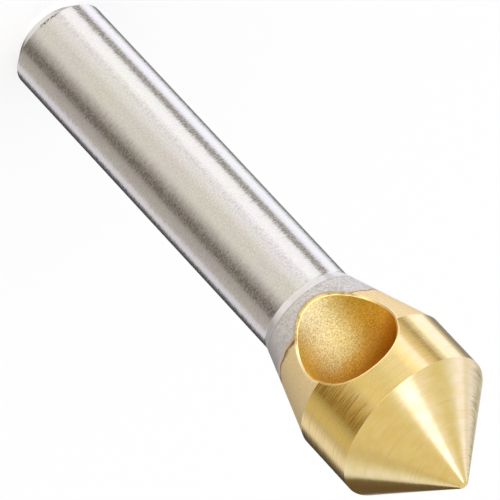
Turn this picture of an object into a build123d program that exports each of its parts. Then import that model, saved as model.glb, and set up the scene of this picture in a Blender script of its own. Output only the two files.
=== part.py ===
from build123d import *
from math import cos, radians, sin, tan
import os

# A countersink bit turned and ground in one piece: a plain round shank, a sloping shoulder, a short
# cylindrical land and a 90 degree cutting cone. One oblique chip hole runs right through the head. It
# opens behind on the shoulder and the land, and in front on the land and the cone, where one side of
# its mouth is the cutting lip. Sizes are in millimetres and degrees. The bit stands on its shank end,
# point up along +Z, with the origin at the middle of that end face. The chip hole lies in the YZ
# plane, and its rear mouth faces -Y.

# Shank
shank_diameter = 12.7       # 1/2 in round shank, held in a collet or chuck
shank_length = 51.3         # end face to the foot of the shoulder
end_chamfer = 1.57          # 45 degree break round the end face
neck_radius = 0.5           # small hollow radius where the shoulder leaves the shank

# Head
head_diameter = 20.64       # 13/16 in over the land
shoulder_angle = 18.0       # slope of the shoulder from the tool's axis
land_length = 7.9           # cylindrical band between the shoulder and the cone
point_angle = 90.0          # included angle of the cutting cone
tip_flat_diameter = 1.2     # small flat left on the end of the cone

# Relief: the cone is ground off centre, so that its surface falls away behind the cutting lip
relief_offset = 0.38        # from the tool's axis to the cone's own axis
relief_heading = 33.0       # direction of that offset, measured from +X towards +Y

# Chip hole
chip_hole_diameter = 11.9
chip_hole_angle = 50.0      # between the hole's axis and the tool's axis
chip_hole_setback = 13.8    # from the sharp point of the cone back to where the two axes cross
rim_break = 0.25            # width of the edge break round the rear mouth

# Room that the cutting profiles leave beyond the blank, so that they cut right through it
cutting_room = 2.0

shank_radius = shank_diameter / 2
head_radius = head_diameter / 2
tip_flat_radius = tip_flat_diameter / 2
point_slope = tan(radians(point_angle / 2))
shoulder_length = (head_radius - shank_radius) / tan(radians(shoulder_angle))
land_start = shank_length + shoulder_length
cone_start = land_start + land_length
sharp_point = cone_start + head_radius / point_slope
tip_height = sharp_point - tip_flat_radius / point_slope
cone_centre = Vector(
    relief_offset * cos(radians(relief_heading)),
    relief_offset * sin(radians(relief_heading)),
    0,
)

with BuildPart() as countersink_bit:
    # Turned blank: shank, shoulder and head, still square at the front
    with BuildSketch(Plane.XZ):
        with BuildLine():
            Polyline(
                (0, 0),
                (shank_radius, 0),
                (shank_radius, shank_length),
                (head_radius, land_start),
                (head_radius, tip_height),
                (0, tip_height),
                close=True,
            )
        make_face()
    revolve(axis=Axis.Z)

    shank_end = countersink_bit.faces().sort_by(Axis.Z).first
    chamfer(shank_end.edges(), end_chamfer)

    neck = countersink_bit.edges().filter_by(GeomType.CIRCLE).filter_by_position(
        Axis.Z, shank_length, shank_length
    )
    fillet(neck, neck_radius)

    # Cutting cone: what lies outside it is ground away, about its own axis beside the tool's axis
    blank_reach = head_radius + relief_offset + cutting_room
    grinding_plane = Plane(origin=cone_centre, x_dir=(1, 0, 0), z_dir=(0, -1, 0))
    with BuildSketch(grinding_plane):
        with BuildLine():
            Polyline(
                (tip_flat_radius, tip_height),
                (blank_reach, sharp_point - blank_reach / point_slope),
                (blank_reach, tip_height + cutting_room),
                (tip_flat_radius, tip_height + cutting_room),
                close=True,
            )
        make_face()
    revolve(axis=Axis(cone_centre, (0, 0, 1)), mode=Mode.SUBTRACT)

    # Chip hole: through the head on a slant, rising from its rear mouth to its front mouth
    hole_tilt = radians(chip_hole_angle)
    hole_plane = Plane(
        origin=(0, 0, sharp_point - chip_hole_setback),
        x_dir=(1, 0, 0),
        z_dir=(0, sin(hole_tilt), cos(hole_tilt)),
    )
    with BuildSketch(hole_plane):
        Circle(chip_hole_diameter / 2)
    extrude(amount=head_diameter, both=True, mode=Mode.SUBTRACT)

    # Edge break round the rear mouth; the front mouth keeps its sharp cutting lip
    rear_rim = (
        countersink_bit.edges(Select.NEW)
        .filter_by(GeomType.LINE, reverse=True)
        .filter_by(lambda edge: edge.center().Y < 0)
    )
    chamfer(rear_rim, rim_break)

countersink_bit.part.label = "countersink_bit"

os.makedirs("parts", exist_ok=True)
export_step(countersink_bit.part, "parts/countersink_bit.step")
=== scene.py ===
from math import cos, hypot, radians, sin, tan

import bpy
from mathutils import Matrix, Vector

# Looks of the countersink bit: a finish for each of its surfaces, with painted light and shade in some
# of them, the studio that its metal reflects, a pale floor and the photo's camera. Nothing is added to
# the bit's own mesh. Places on the bit are in millimetres, and headings are in degrees round it, from
# the camera's side towards the right.
MM = 0.001

# The bit's own sizes, as far as its finishes need them
END_CHAMFER = 1.57
NECK_TOP = 51.5             # just above the hollow radius at the foot of the shoulder
SHOULDER_SLOPE = tan(radians(18.0))
LAND_START = 63.518
HEAD_RADIUS = 10.32
CONE_FOOT = 70.5            # a little below the lowest place where the cone starts
HOLE_RADIUS = 5.95
RIM_RADIUS = 6.20           # farthest that the broken edge of the rear mouth reaches from its axis
HOLE_HEIGHT = 67.938        # where the chip hole's axis crosses the tool's axis
HOLE_ANGLE = radians(50.0)  # between the two axes
HOLE_AXIS = (0.0, sin(HOLE_ANGLE), cos(HOLE_ANGLE))

# Where its finishes change
NECK_LINE = 52.58           # height on the shoulder where grinding ends and blasting starts
COATING_EDGE = 56.45        # height on the shoulder where the gold coating starts
FINISH_REACH = 0.02         # how near a corner must lie to a surface to belong to it

# Camera: it stands in front and a little to the right, looks down on the standing bit, and is rolled
# so that the bit lies across the picture from the upper left to the lower right, point down.
CAMERA_HEADING = 8.2        # degrees round from -Y towards +X
CAMERA_ELEVATION = 28.11
CAMERA_ROLL = 137.125
CAMERA_DISTANCE = 701.96 * MM
CAMERA_FOCAL_LENGTH = 428.65  # on a 36 mm sensor
CAMERA_SHIFT = 0.001        # half a pixel each way
AIM_HEIGHT = 40 * MM        # where the line of sight crosses the tool's axis

# The studio round the bit: tent walls with softboxes and black flags, as the bands of light on the
# photo's shank and cone suggest. What stands where is a guess. Many of the levels are those that a
# program printed, which compared the colours of render and photo every few degrees, so they suit this
# photo's view. Each stop is a heading in degrees from the camera towards the right, a brightness and a
# tint. The low ring is what surfaces reflect from below the horizon, and the high ring what they reflect
# from well above.
NEUTRAL = (1.0, 1.0, 1.0)
SOFTBOX = (1.0, 1.0, 1.09)
MILD = (1.0, 1.01, 1.22)
PEARL = (1.0, 1.07, 1.50)
GLARE = (1.0, 1.06, 1.85)
DAYLIGHT = (1.0, 0.97, 1.80)
CREAM = (1.0, 0.975, 0.93)
IVORY = (1.0, 0.97, 0.88)
WARM = (1.0, 0.94, 0.83)
SHADE = (1.0, 0.92, 0.82)
COOL = (1.0, 0.96, 1.00)
BROWN = (1.0, 0.85, 0.68)
UMBER = (1.0, 0.72, 0.45)
LOW_RING = (
    (-180, 1.00, NEUTRAL),   # pale background
    (-176, 1.00, NEUTRAL),
    (-171, 0.26, NEUTRAL),   # thin dark flag, rear left
    (-149, 0.26, NEUTRAL),
    (-145, 0.82, NEUTRAL),
    (-134, 1.26, NEUTRAL),   # far left softbox
    (-129, 1.45, SOFTBOX),
    (-109, 1.45, SOFTBOX),
    (-106, 1.30, NEUTRAL),
    (-101, 0.48, SHADE),     # gap between the left softboxes
    (-86, 0.43, SHADE),
    (-81, 1.45, NEUTRAL),    # near left softbox, with a seam on its right
    (-56, 1.50, CREAM),
    (-47, 1.18, IVORY),
    (-43, 1.06, IVORY),
    (-38, 1.14, IVORY),
    (-24, 1.15, IVORY),
    (-8, 0.98, WARM),        # front wall
    (17, 1.02, WARM),
    (24, 0.90, WARM),
    (34, 0.64, SHADE),
    (52, 0.24, BROWN),       # black flag, front right, soft on its left
    (66, 0.24, BROWN),
    (76, 0.55, SHADE),       # right wall
    (107, 0.68, SHADE),
    (112, 0.97, COOL),       # right strip light
    (130, 1.02, COOL),
    (139, 0.18, NEUTRAL),    # black flag, rear right
    (150, 0.08, NEUTRAL),
    (177, 0.04, NEUTRAL),
    (180, 0.50, NEUTRAL),
)
HIGH_RING = (
    (-180, 1.00, NEUTRAL),   # pale background
    (-168, 0.70, NEUTRAL),
    (-159, 0.60, NEUTRAL),
    (-152, 0.98, PEARL),
    (-147, 1.18, GLARE),
    (-134, 1.00, PEARL),
    (-128, 1.32, GLARE),     # far left softbox
    (-119, 1.33, GLARE),
    (-111, 1.05, PEARL),
    (-105, 0.98, NEUTRAL),
    (-92, 0.96, CREAM),
    (-77, 1.13, MILD),
    (-63, 1.08, PEARL),
    (-58, 2.18, DAYLIGHT),   # near left softbox, reaching over the bit
    (-33, 2.18, DAYLIGHT),
    (-24, 1.18, PEARL),
    (-14, 0.98, NEUTRAL),    # front wall and ceiling
    (0, 0.96, WARM),
    (28, 0.96, SHADE),
    (56, 0.97, WARM),
    (86, 0.92, WARM),
    (92, 0.81, SHADE),
    (104, 0.83, CREAM),
    (113, 0.98, MILD),       # right strip light
    (119, 1.06, PEARL),
    (130, 1.10, PEARL),
    (135, 0.17, UMBER),      # black flag, rear right
    (168, 0.14, UMBER),
    (175, 0.90, NEUTRAL),
)
RING_CHANGE = (-26, -12)    # elevations where the low ring ends and the high ring starts
FRONT = (5.1, 4.8, 3.8)     # strong softbox in front, round the camera
FRONT_HEADINGS = (-50, -38, 8, 20)
FRONT_ELEVATIONS = (-11, -4, 40, 47)
TABLE = (0.80, 0.78, 0.74)  # what surfaces that face down reflect
TABLE_EDGE = (-0.85, -0.65)  # how steeply down the reflection has to go to meet the table

# Stretches of the bit, in headings: each starts, is full, fades and ends. They are fixed on the bit, on
# the side that the photo shows. Those on the shoulder and the neck, and the pale one on the cone, are
# painted shade, painted highlights and a painted grey reflection. The nicks, streaks and marks are the
# surface's own.
NICKS = (-27, -22, 0, 5)            # on the edge of the end chamfer
BARE_SHOULDER_PAINTED_SHADE = (28, 62, 95, 150)      # bare shoulder
COATED_SHOULDER_PAINTED_SHADE = (25, 60, 66, 78)     # coated shoulder
NECK_PAINTED_SHADE = (24, 40, 85, 120)
NECK_PAINTED_HIGHLIGHT = (2, 11, 17, 27)
NECK_PAINTED_GREY_REFLECTION = (-54, -48, -43, -37)
LAND_STREAKS = (8, 16, 30, 40)
CONE_MARKS = (-132, -110, -90, -75)
CONE_PAINTED_HIGHLIGHT = (-120, -106, -97, -86)

# The wall of the chip hole: a pale painted highlight across it, how far along its axis painted shade
# turns it duller, and the heights over which painted shade deepens its colour in three steps. Those
# heights are greater towards the right and towards the rear mouth, by these shares of X and Y.
WALL_PAINTED_HIGHLIGHT = (-4.0, -0.5, 1.5, 5.5)
WALL_PAINTED_MOUTH_SHADE = (8.5, 12.5)
WALL_DEEPER = (58.7, 60.3)
WALL_DEEP = (60.0, 61.7)
WALL_DEEPEST = (61.3, 62.4)
WALL_LEAN_X = -0.12
WALL_LEAN_X_FROM = -2.5     # to the left of this they change no more with X
WALL_LEAN_Y = 0.14

# The floor: its size in metres, its grey, and the light of its own that the camera sees mixed in
FLOOR_SIZE = 6
FLOOR_GREY = (0.9, 0.9, 0.9, 1)
FLOOR_GLOW = 1.06
FLOOR_GLOW_SHARE = 0.6

# Bands of colour round the land, with the stretch that each covers, set by comparing render and photo.
# They are fixed on the bit. They are painted highlights, painted reflections and painted shade over the
# coating's own gold. The streaks lie over the first list and under the second.
LAND_PAINTED_LIGHT_BANDS = (
    (-125, -100, -82, -77, (1.0, 0.78, 0.43)),
    (-74, -62, -38, -24, (0.80, 0.66, 0.42)),
    (-78, -74, -70, -66, (0.38, 0.255, 0.08)),
    (-57, -53, -48, -45, (1.0, 0.82, 0.42)),
    (-49, -45, -42, -40, (0.76, 0.52, 0.15)),
    (-43, -40, -38, -33, (0.60, 0.43, 0.13)),
    (-27, -20, -12, 6, (0.66, 0.51, 0.18)),
    (10, 26, 31, 38, (0.97, 0.60, 0.10)),
)
LAND_PAINTED_LIGHT_OVER_STREAKS = (
    (30, 34, 44, 52, (0.94, 0.68, 0.18)),
    (46, 53, 62, 72, (0.83, 0.65, 0.28)),
    (66, 78, 100, 150, (0.77, 0.46, 0.09)),
)


class Nodes:
    """A short way to build a node tree: each call adds a node, sets its inputs and links them."""

    def __init__(self, tree):
        self.tree = tree
        tree.nodes.clear()

    def add(self, kind, inputs=None, **settings):
        node = self.tree.nodes.new(kind)
        for name, value in settings.items():
            setattr(node, name, value)
        for key, value in (inputs or {}).items():
            socket = node.inputs[key]
            if isinstance(value, bpy.types.NodeSocket):
                self.tree.links.new(value, socket)
            else:
                socket.default_value = value
        return node

    def math(self, operation, *values):
        inputs = dict(enumerate(values))
        return self.add("ShaderNodeMath", inputs, operation=operation).outputs[0]

    def product(self, first, *others):
        for other in others:
            first = self.math("MULTIPLY", first, other)
        return first

    def gap(self, value, middle):
        """How far a value is from a middle one, on either side."""
        return self.math("ABSOLUTE", self.math("SUBTRACT", value, middle))

    def vector(self, operation, *values):
        inputs = dict(enumerate(values))
        return self.add("ShaderNodeVectorMath", inputs, operation=operation).outputs[0]

    def scaled(self, vector, factor):
        inputs = {0: vector, "Scale": factor}
        return self.add("ShaderNodeVectorMath", inputs, operation="SCALE").outputs[0]

    def axes(self, vector):
        return self.add("ShaderNodeSeparateXYZ", {0: vector}).outputs

    def remap(self, value, low, high, to_low=0.0, to_high=1.0):
        """A smooth step from one value to another while the input goes from low to high."""
        inputs = {0: value, 1: low, 2: high, 3: to_low, 4: to_high}
        return self.add("ShaderNodeMapRange", inputs, interpolation_type="SMOOTHSTEP").outputs[0]

    def stretch(self, value, start, full, fade, end):
        """1 between full and fade, and 0 before start and after end."""
        return self.product(self.remap(value, start, full), self.remap(value, fade, end, 1.0, 0.0))

    def blend(self, factor, first, second):
        inputs = {0: factor, 6: colour(first), 7: colour(second)}
        return self.add("ShaderNodeMix", inputs, data_type="RGBA").outputs[2]

    def point(self):
        """The place on the bit, in millimetres."""
        place = self.add("ShaderNodeTexCoord").outputs["Object"]
        return self.scaled(place, 1 / MM)

    def noise(self, place, grain, detail=2.0, offset=0.0):
        """Noise whose grain is that long in x, y and z, in millimetres."""
        stretched = self.vector("MULTIPLY_ADD", place, [1 / size for size in grain], [offset] * 3)
        inputs = {"Vector": stretched, "Scale": 1.0, "Detail": detail}
        return self.add("ShaderNodeTexNoise", inputs).outputs[0]


def colour(value):
    return value if isinstance(value, bpy.types.NodeSocket) else (*value, 1.0)


def ring(n, turn, stops):
    """One ring of the studio: the light that comes from each heading."""
    node = n.add("ShaderNodeValToRGB", {"Fac": turn})
    elements = node.color_ramp.elements
    while len(elements) > 1:
        elements.remove(elements[0])
    for index, (degrees, level, tint) in enumerate(stops):
        place = (degrees + 180) / 360
        stop = elements[0] if index == 0 else elements.new(place)
        stop.position = place
        stop.color = [level * channel for channel in tint] + [1.0]
    return node.outputs["Color"]


def studio_light(n):
    """The light of the studio from each direction, as the bit's metal reflects it."""
    direction = n.add("ShaderNodeTexCoord").outputs["Generated"]
    facing = n.add(
        "ShaderNodeVectorRotate",
        {"Vector": direction, "Angle": radians(-CAMERA_HEADING)},
        rotation_type="Z_AXIS",
    ).outputs[0]
    xyz = n.axes(facing)
    heading = n.math("ARCTAN2", xyz["X"], n.math("MULTIPLY", xyz["Y"], -1.0))
    inputs = {0: heading, 1: radians(-180), 2: radians(180)}
    turn = n.add("ShaderNodeMapRange", inputs).outputs[0]
    rise = n.remap(xyz["Z"], *[sin(radians(angle)) for angle in RING_CHANGE])
    studio = n.blend(rise, ring(n, turn, LOW_RING), ring(n, turn, HIGH_RING))
    across = n.stretch(heading, *[radians(angle) for angle in FRONT_HEADINGS])
    upward = n.stretch(xyz["Z"], *[sin(radians(angle)) for angle in FRONT_ELEVATIONS])
    studio = n.blend(n.product(across, upward), studio, FRONT)
    return n.blend(n.remap(xyz["Z"], *TABLE_EDGE), TABLE, studio)


def studio_world():
    """Plain white light, with the studio's softboxes and flags where metal reflects them."""
    world = bpy.data.worlds.new("studio")
    bpy.context.scene.world = world
    world.use_nodes = True
    n = Nodes(world.node_tree)
    reflected = n.add("ShaderNodeBackground", {"Color": studio_light(n)})
    plain = n.add("ShaderNodeBackground", {"Color": (1, 1, 1, 1)})
    path = n.add("ShaderNodeLightPath").outputs
    mixed = n.add(
        "ShaderNodeMixShader",
        {0: path["Is Glossy Ray"], 1: plain.outputs[0], 2: reflected.outputs[0]},
    )
    n.add("ShaderNodeOutputWorld", {"Surface": mixed.outputs[0]})


def new_material(name):
    material = bpy.data.materials.new(name)
    material.use_nodes = True
    return material, Nodes(material.node_tree)


def metal(n, inputs):
    surface = n.add("ShaderNodeBsdfPrincipled", {"Metallic": 1.0, **inputs})
    n.add("ShaderNodeOutputMaterial", {"Surface": surface.outputs[0]})


def eased_normal(n, radius):
    """The surface normal, with the sharp edges eased by a tiny radius in millimetres."""
    return n.add("ShaderNodeBevel", {"Radius": radius * MM}, samples=6).outputs[0]


def swung_normal(n, marks, amount, normal=None):
    """A normal swung round the tool's axis by as much as the marks say."""
    if normal is None:
        normal = n.add("ShaderNodeNewGeometry").outputs["Normal"]
    around = n.vector("NORMALIZE", n.vector("CROSS_PRODUCT", (0, 0, 1), normal))
    swing = n.math("MULTIPLY", n.math("SUBTRACT", marks, 0.5), 2 * amount)
    moved = n.vector("ADD", normal, n.scaled(around, swing))
    return n.vector("NORMALIZE", moved)


def bumped(n, height, depth, normal=None):
    """A bump whose height runs from 0 to 1 over the depth, in millimetres."""
    inputs = {"Height": height, "Strength": 1.0, "Distance": depth * MM}
    if normal is not None:
        inputs["Normal"] = normal
    return n.add("ShaderNodeBump", inputs).outputs[0]


def from_crossing(n, place):
    """The way to a place from where the chip hole's axis crosses the tool's axis."""
    return n.vector("SUBTRACT", place, (0, 0, HOLE_HEIGHT))


def hole_distance(n, place):
    """How far a place is from the chip hole's axis, in millimetres."""
    across = n.vector("CROSS_PRODUCT", from_crossing(n, place), HOLE_AXIS)
    return n.add("ShaderNodeVectorMath", {0: across}, operation="LENGTH").outputs["Value"]


def hole_depth(n, place):
    """How far a place is along the chip hole's axis from the tool's axis, in millimetres."""
    inputs = {0: from_crossing(n, place), 1: HOLE_AXIS}
    along = n.add("ShaderNodeVectorMath", inputs, operation="DOT_PRODUCT").outputs["Value"]
    return n.math("ABSOLUTE", along)


def heading_of(n, place):
    """How far round the tool a place is, in degrees from the camera's side towards the right."""
    xyz = n.axes(place)
    angle = n.math("ARCTAN2", xyz["X"], n.math("MULTIPLY", xyz["Y"], -1.0))
    return n.math("SUBTRACT", n.math("DEGREES", angle), CAMERA_HEADING)


def ground_steel():
    """Centreless ground shank: satin steel with short fine marks round it and cloudy patches."""
    material, n = new_material("ground_steel")
    place = n.point()
    height = n.axes(place)["Z"]
    marks = n.noise(place, (0.9, 0.9, 0.13), 2.0)
    specks = n.noise(place, (0.30, 0.30, 0.16), 1.0, offset=2.0)
    clouds = n.noise(place, (5.0, 5.0, 6.0), 3.0, offset=7.0)
    base = n.blend(n.remap(clouds, 0.35, 0.65), (0.660, 0.655, 0.630), (0.665, 0.645, 0.650))
    base = n.blend(n.remap(marks, 0.25, 0.45), (0.63, 0.62, 0.61), base)
    base = n.blend(n.remap(specks, 0.38, 0.55), n.scaled(base, 0.93), base)
    roughness = n.remap(specks, 0.3, 0.7, 0.11, 0.27)
    # the chamfer is painted brighter, a painted reflection, and small dark nicks lie along its edge
    chamfer = n.remap(height, END_CHAMFER - 0.1, END_CHAMFER, 1.0, 0.0)
    base = n.blend(chamfer, base, (0.95, 0.95, 0.95))
    nicks = n.product(
        n.remap(n.gap(height, END_CHAMFER), 0.10, 0.35, 1.0, 0.0),
        n.remap(clouds, 0.40, 0.48),
        n.remap(specks, 0.46, 0.54),
        n.stretch(heading_of(n, place), *NICKS),
    )
    base = n.blend(nicks, base, (0.10, 0.09, 0.08))
    normal = bumped(n, specks, 0.003, swung_normal(n, marks, 0.09))
    metal(n, {"Base Color": base, "Roughness": roughness, "Normal": normal})
    return material


def bare_shoulder(n, place, grain, heading, above):
    """Bare blasted steel, with painted shade on one side, and tinted where it comes near the coating."""
    mottle = n.noise(place, (0.45, 0.45, 0.45), 3.0, offset=9.0)
    bare = n.blend(n.remap(grain, 0.3, 0.7), (0.55, 0.525, 0.50), (0.80, 0.765, 0.745))
    bare = n.blend(n.remap(mottle, 0.30, 0.48), (0.52, 0.49, 0.47), bare)
    # painted shade on one side of the bare shoulder
    bare = n.blend(n.product(n.stretch(heading, *BARE_SHOULDER_PAINTED_SHADE), 0.9), bare, (0.42, 0.39, 0.39))
    tint = n.product(n.remap(above, -1.3, -0.1), n.remap(heading, 0, 30, 0.4, 1.0))
    tinted = n.blend(n.remap(grain, 0.3, 0.7), (0.62, 0.48, 0.32), (0.76, 0.61, 0.43))
    return n.blend(tint, bare, tinted)


def coated_shoulder(n, grain, heading):
    """The blasted steel under its gold coating, with painted shade on one side."""
    coated = n.blend(n.remap(grain, 0.3, 0.7), (0.82, 0.62, 0.31), (0.92, 0.73, 0.41))
    # painted shade on one side of the coated shoulder
    return n.blend(n.product(n.stretch(heading, *COATED_SHOULDER_PAINTED_SHADE), 0.45), coated, (0.42, 0.32, 0.17))


def coating_edge(n, place, grain, heading, above, base):
    """The coating creeps out round the mouth of the hole, and starts with a thin brown line."""
    distance = hole_distance(n, place)
    mouth = n.math("ADD", distance, n.math("MULTIPLY", grain, 0.25))
    creep = n.remap(mouth, RIM_RADIUS + 0.05, RIM_RADIUS + 0.55, 0.9, 0.0)
    base = n.blend(n.product(creep, n.remap(above, -0.2, 0.3, 1.0, 0.0)), base, (0.52, 0.37, 0.15))
    wide = n.remap(heading, 15, 35, 0.13, 0.30)
    inputs = {0: n.math("ABSOLUTE", above), 1: 0.03, 2: wide, 3: 1.0, 4: 0.0}
    line = n.add("ShaderNodeMapRange", inputs).outputs[0]
    line = n.product(line, n.remap(grain, 0.25, 0.5, 0.3, 1.0))
    base = n.blend(line, base, (0.22, 0.11, 0.035))
    # above the line, the coated edge of the mouth is pale: a painted highlight
    pale = n.remap(distance, RIM_RADIUS + 0.02, RIM_RADIUS + 0.12, 1.0, 0.0)
    return n.blend(n.product(pale, n.remap(above, 0.2, 0.6)), base, (0.98, 0.83, 0.52))


def neck_band(n, place, heading, base):
    """The shank's grinding has run on up the start of the shoulder, to a fine line, with a painted
    highlight, painted shade and a painted grey reflection in bands round it.
    """
    height = n.axes(place)["Z"]
    # a painted highlight, painted shade and a painted grey reflection in bands round the neck
    dark = n.stretch(heading, *NECK_PAINTED_SHADE)
    neck = n.blend(dark, (0.86, 0.835, 0.84), (0.54, 0.52, 0.525))
    neck = n.blend(n.stretch(heading, *NECK_PAINTED_HIGHLIGHT), neck, (0.97, 0.945, 0.95))
    neck = n.blend(n.stretch(heading, *NECK_PAINTED_GREY_REFLECTION), neck, (0.68, 0.66, 0.665))
    marks = n.noise(place, (0.9, 0.9, 0.13), 2.0)
    neck = n.blend(n.remap(marks, 0.25, 0.75), n.scaled(neck, 0.88), neck)
    base = n.blend(n.remap(height, NECK_LINE - 0.28, NECK_LINE - 0.08, 1.0, 0.0), base, neck)
    line = n.remap(n.gap(height, NECK_LINE), 0.04, 0.14, 1.0, 0.0)
    # the fine line is drawn darker in the painted shade
    line = n.product(line, n.remap(dark, 0.0, 1.0, 0.15, 0.45))
    return n.blend(line, base, (0.25, 0.22, 0.22))


def blasted_shoulder():
    """Shoulder: a ground neck, bare grey blasted steel, then the gold coating over the blasting."""
    material, n = new_material("blasted_shoulder")
    place = n.point()
    heading = heading_of(n, place)
    grain = n.noise(place, (0.20, 0.20, 0.20), 2.0)
    wander = n.noise(place, (1.6, 1.6, 1.6), 4.0, offset=3.0)
    edge = n.remap(wander, 0.25, 0.75, COATING_EDGE - 0.25, COATING_EDGE + 0.25)
    above = n.math("SUBTRACT", n.axes(place)["Z"], edge)
    bare = bare_shoulder(n, place, grain, heading, above)
    base = n.blend(n.remap(above, -0.03, 0.05), bare, coated_shoulder(n, grain, heading))
    base = coating_edge(n, place, grain, heading, above, base)
    base = neck_band(n, place, heading, base)
    normal = bumped(n, grain, 0.02)
    metal(n, {"Base Color": base, "Metallic": 0.75, "Roughness": 0.5, "Normal": normal})
    return material


def land_colours_and_painted_light(n, place, base):
    """Bands of painted highlight and painted shade round the land, from pale gold on the left to bronze
    on the right, with fine dark streaks.
    """
    heading = heading_of(n, place)
    # painted highlights and painted shade in bands round the land
    for *where, tint in LAND_PAINTED_LIGHT_BANDS:
        base = n.blend(n.stretch(heading, *where), base, tint)
    streaks = n.remap(n.noise(place, (2.5, 2.5, 0.05), 2.0, offset=4.0), 0.53, 0.61)
    base = n.blend(n.product(streaks, n.stretch(heading, *LAND_STREAKS)), base, (0.38, 0.22, 0.04))
    # more painted shade on the right, over the streaks
    for *where, tint in LAND_PAINTED_LIGHT_OVER_STREAKS:
        base = n.blend(n.stretch(heading, *where), base, tint)
    coat = 1.0
    return base, coat


def cone_marks_and_painted_highlight(n, place, base):
    """Fine dark turning marks on the back left of the cone, over a pale painted highlight there."""
    heading = heading_of(n, place)
    # a pale painted highlight on the back left of the cone
    base = n.blend(n.stretch(heading, *CONE_PAINTED_HIGHLIGHT), base, (0.96, 0.78, 0.42))
    marks = n.remap(n.noise(place, (4.0, 4.0, 0.04), 2.0, offset=6.0), 0.46, 0.56)
    marks = n.product(marks, n.stretch(heading, *CONE_MARKS))
    base = n.blend(marks, base, (0.33, 0.26, 0.11))
    coat = n.math("MULTIPLY_ADD", marks, -0.7, 1.0)
    return base, coat


def gold_finish(name, colours, depth, sway, smooth, rough):
    """Gold-coated steel, ground all round: fine lines, hazy patches, and colours with painted light in
    them.

    The function that adds those colours also says how much of the glossy coat lies over them.
    """
    material, n = new_material(name)
    place = n.point()
    lines = n.noise(place, (7.0, 7.0, 0.10), 3.0)
    haze = n.noise(place, (1.8, 1.8, 1.0), 3.0, offset=5.0)
    base = n.blend(n.remap(haze, 0.3, 0.7), (0.72, 0.53, 0.155), (0.75, 0.575, 0.21))
    base, coat = colours(n, place, base)
    base = n.blend(n.remap(lines, 0.25, 0.45), (0.66, 0.48, 0.15), base)
    # a thin pale line, a painted highlight, where the coating rounds the edge of the hole's rear mouth
    rear = n.math("LESS_THAN", n.axes(place)["Y"], 0.0)
    pale = n.remap(hole_distance(n, place), RIM_RADIUS + 0.01, RIM_RADIUS + 0.10, 1.0, 0.0)
    pale = n.product(pale, rear)
    base = n.blend(pale, base, (0.84, 0.64, 0.28))
    roughness = n.remap(lines, 0.3, 0.7, rough, smooth)
    roughness = n.math("MAXIMUM", roughness, n.math("MULTIPLY", pale, 0.4))
    normal = bumped(n, lines, depth, swung_normal(n, lines, sway, eased_normal(n, 0.012)))
    inputs = {"Base Color": base, "Roughness": roughness, "Normal": normal}
    inputs["Specular Tint"] = (0.95, 0.85, 0.55, 1.0)
    metal(n, {**inputs, "Coat Weight": coat, "Coat Roughness": 0.15, "Coat Normal": normal})
    return material


def blasted_gold():
    """Gold-coated wall of the chip hole: grainy with painted glints, a pale painted highlight across it,
    and painted shade near the mouths and, deeper in colour, far inside.
    """
    material, n = new_material("blasted_gold")
    place = n.point()
    xyz = n.axes(place)
    grain = n.noise(place, (0.17, 0.17, 0.17), 1.5)
    # a pale painted highlight across the wall
    streak = n.stretch(xyz["X"], *WALL_PAINTED_HIGHLIGHT)
    base = n.blend(streak, (0.90, 0.65, 0.14), (1.0, 0.93, 0.55))
    # painted shade near the mouths: the coating is drawn duller there
    duller = n.vector("MULTIPLY", base, (0.80, 0.78, 0.76))
    base = n.blend(n.remap(hole_depth(n, place), *WALL_PAINTED_MOUTH_SHADE), base, duller)
    # and painted shade, deeper in colour, where the wall rises
    sideways = n.math("MULTIPLY", n.math("MAXIMUM", xyz["X"], WALL_LEAN_X_FROM), WALL_LEAN_X)
    forwards = n.math("MULTIPLY", xyz["Y"], WALL_LEAN_Y)
    rise = n.math("ADD", n.math("ADD", xyz["Z"], sideways), forwards)
    deep = n.remap(rise, *WALL_DEEP)
    base = n.blend(n.remap(rise, *WALL_DEEPER), base, (0.96, 0.67, 0.17))
    base = n.blend(deep, base, (0.76, 0.39, 0.04))
    base = n.blend(n.remap(rise, *WALL_DEEPEST), base, (0.58, 0.30, 0.04))
    # the grain is darker where it dips, and painted glints lie on its tops
    pits = n.vector("MULTIPLY", base, (0.82, 0.72, 0.42))
    base = n.blend(n.remap(grain, 0.34, 0.56), pits, base)
    painted_glints = n.vector("MINIMUM", n.vector("MULTIPLY", base, (1.12, 1.20, 1.30)), (1, 1, 1))
    glint = n.product(n.remap(grain, 0.54, 0.66, 0.0, 0.8), n.math("SUBTRACT", 1.0, deep))
    base = n.blend(glint, base, painted_glints)
    metal(n, {"Base Color": base, "Roughness": 0.6, "Normal": bumped(n, grain, 0.03)})
    return material


def bright_rim():
    """Broken edge of the chip hole's rear mouth: a bright painted highlight along the inside, duller
    towards the outside.
    """
    material, n = new_material("bright_rim")
    place = n.point()
    wear = n.noise(place, (0.5, 0.5, 0.5), 2.0)
    height = n.axes(place)["Z"]
    coated = n.remap(height, COATING_EDGE, COATING_EDGE + 1.5)
    on_land = n.remap(height, LAND_START, LAND_START + 0.4)
    # the inner line is a painted highlight
    bright = n.blend(n.remap(wear, 0.3, 0.6), (0.42, 0.34, 0.14), (0.58, 0.47, 0.23))
    bright = n.blend(coated, bright, (0.92, 0.74, 0.40))
    dull = n.blend(n.remap(wear, 0.35, 0.6), (0.17, 0.125, 0.05), (0.28, 0.22, 0.11))
    dull = n.blend(coated, dull, (0.80, 0.61, 0.30))
    dull = n.blend(on_land, dull, (0.52, 0.39, 0.13))
    outside = n.remap(hole_distance(n, place), HOLE_RADIUS + 0.02, HOLE_RADIUS + 0.08)
    base = n.blend(outside, bright, dull)
    tint = (0.86, 0.77, 0.52, 1.0)
    normal = bumped(n, wear, 0.03)
    metal(n, {"Base Color": base, "Specular Tint": tint, "Roughness": 0.45, "Normal": normal})
    return material


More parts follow.
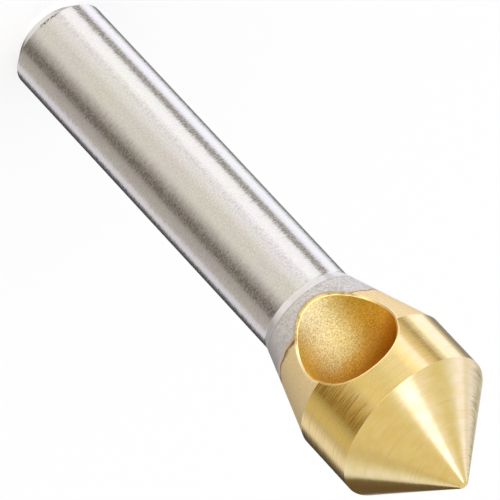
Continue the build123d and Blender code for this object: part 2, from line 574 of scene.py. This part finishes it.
def pale_floor():
    """A plain pale floor that shows white, with the bit's shadow on it."""
    material, n = new_material("floor")
    matte = n.add("ShaderNodeBsdfDiffuse", {"Color": FLOOR_GREY})
    glow = n.add("ShaderNodeEmission", {"Color": (1, 1, 1, 1), "Strength": FLOOR_GLOW})
    lit = n.add("ShaderNodeMixShader", {0: FLOOR_GLOW_SHARE, 1: matte.outputs[0], 2: glow.outputs[0]})
    path = n.add("ShaderNodeLightPath").outputs
    chosen = n.add(
        "ShaderNodeMixShader",
        {0: path["Is Camera Ray"], 1: matte.outputs[0], 2: lit.outputs[0]},
    )
    n.add("ShaderNodeOutputMaterial", {"Surface": chosen.outputs[0]})
    bpy.ops.mesh.primitive_plane_add(size=FLOOR_SIZE)
    floor = bpy.context.object
    floor.name = "floor"
    floor.data.materials.append(material)
    floor.visible_glossy = False


def camera():
    data = bpy.data.cameras.new("camera")
    data.lens = CAMERA_FOCAL_LENGTH
    data.shift_x = -CAMERA_SHIFT
    data.shift_y = CAMERA_SHIFT
    data.clip_start = 0.01
    data.clip_end = 20
    cam = bpy.data.objects.new("camera", data)
    bpy.context.scene.collection.objects.link(cam)
    heading, elevation = radians(CAMERA_HEADING), radians(CAMERA_ELEVATION)
    back = Vector(
        (sin(heading) * cos(elevation), -cos(heading) * cos(elevation), sin(elevation))
    )
    upright = (-back).to_track_quat("-Z", "Y").to_matrix().to_4x4()
    roll = Matrix.Rotation(radians(CAMERA_ROLL), 4, "Z")
    place = Matrix.Translation(Vector((0, 0, AIM_HEIGHT)) + CAMERA_DISTANCE * back)
    cam.matrix_world = place @ upright @ roll
    bpy.context.scene.camera = cam


def from_hole_axis(point):
    """How far a point is from the chip hole's axis, in millimetres."""
    axis = Vector(HOLE_AXIS)
    offset = point - Vector((0, 0, HOLE_HEIGHT))
    return (offset - offset.dot(axis) * axis).length


def finish_of(corners):
    """The finish of the surface that carries all of a face's corners, given in millimetres."""
    radii = [hypot(p.x, p.y) for p in corners]
    shoulder = [HEAD_RADIUS - (LAND_START - p.z) * SHOULDER_SLOPE for p in corners]
    lowest = min(p.z for p in corners)
    highest = max(p.z for p in corners)
    if all(abs(from_hole_axis(p) - HOLE_RADIUS) < FINISH_REACH for p in corners):
        return "blasted_gold"
    if highest < NECK_TOP:
        return "ground_steel"
    on_shoulder = all(abs(r - s) < 2 * FINISH_REACH for r, s in zip(radii, shoulder))
    if highest < LAND_START + FINISH_REACH and on_shoulder:
        return "blasted_shoulder"
    on_land = all(abs(r - HEAD_RADIUS) < FINISH_REACH for r in radii)
    if lowest > LAND_START - FINISH_REACH and on_land:
        return "land_gold"
    if lowest > CONE_FOOT:
        return "cone_gold"
    return "bright_rim"


def finish_bit(bit):
    materials = (
        ground_steel(),
        blasted_shoulder(),
        gold_finish("land_gold", land_colours_and_painted_light, 0.0015, 0.035, 0.20, 0.30),
        gold_finish("cone_gold", cone_marks_and_painted_highlight, 0.0010, 0.020, 0.14, 0.20),
        blasted_gold(),
        bright_rim(),
    )
    bit.data.materials.clear()
    for material in materials:
        bit.data.materials.append(material)
    order = [material.name for material in materials]
    for face in bit.data.polygons:
        corners = [bit.data.vertices[i].co / MM for i in face.vertices]
        face.material_index = order.index(finish_of(corners))


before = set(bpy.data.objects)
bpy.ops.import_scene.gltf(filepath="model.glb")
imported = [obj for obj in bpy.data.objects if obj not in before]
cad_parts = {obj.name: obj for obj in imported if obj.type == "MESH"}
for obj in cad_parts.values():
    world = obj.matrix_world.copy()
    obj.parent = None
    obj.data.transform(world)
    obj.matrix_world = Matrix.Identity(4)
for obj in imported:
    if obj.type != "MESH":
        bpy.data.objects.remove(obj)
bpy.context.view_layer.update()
finish_bit(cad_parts["countersink_bit"])
studio_world()
pale_floor()
camera()
bpy.context.scene.view_settings.view_transform = "Standard"
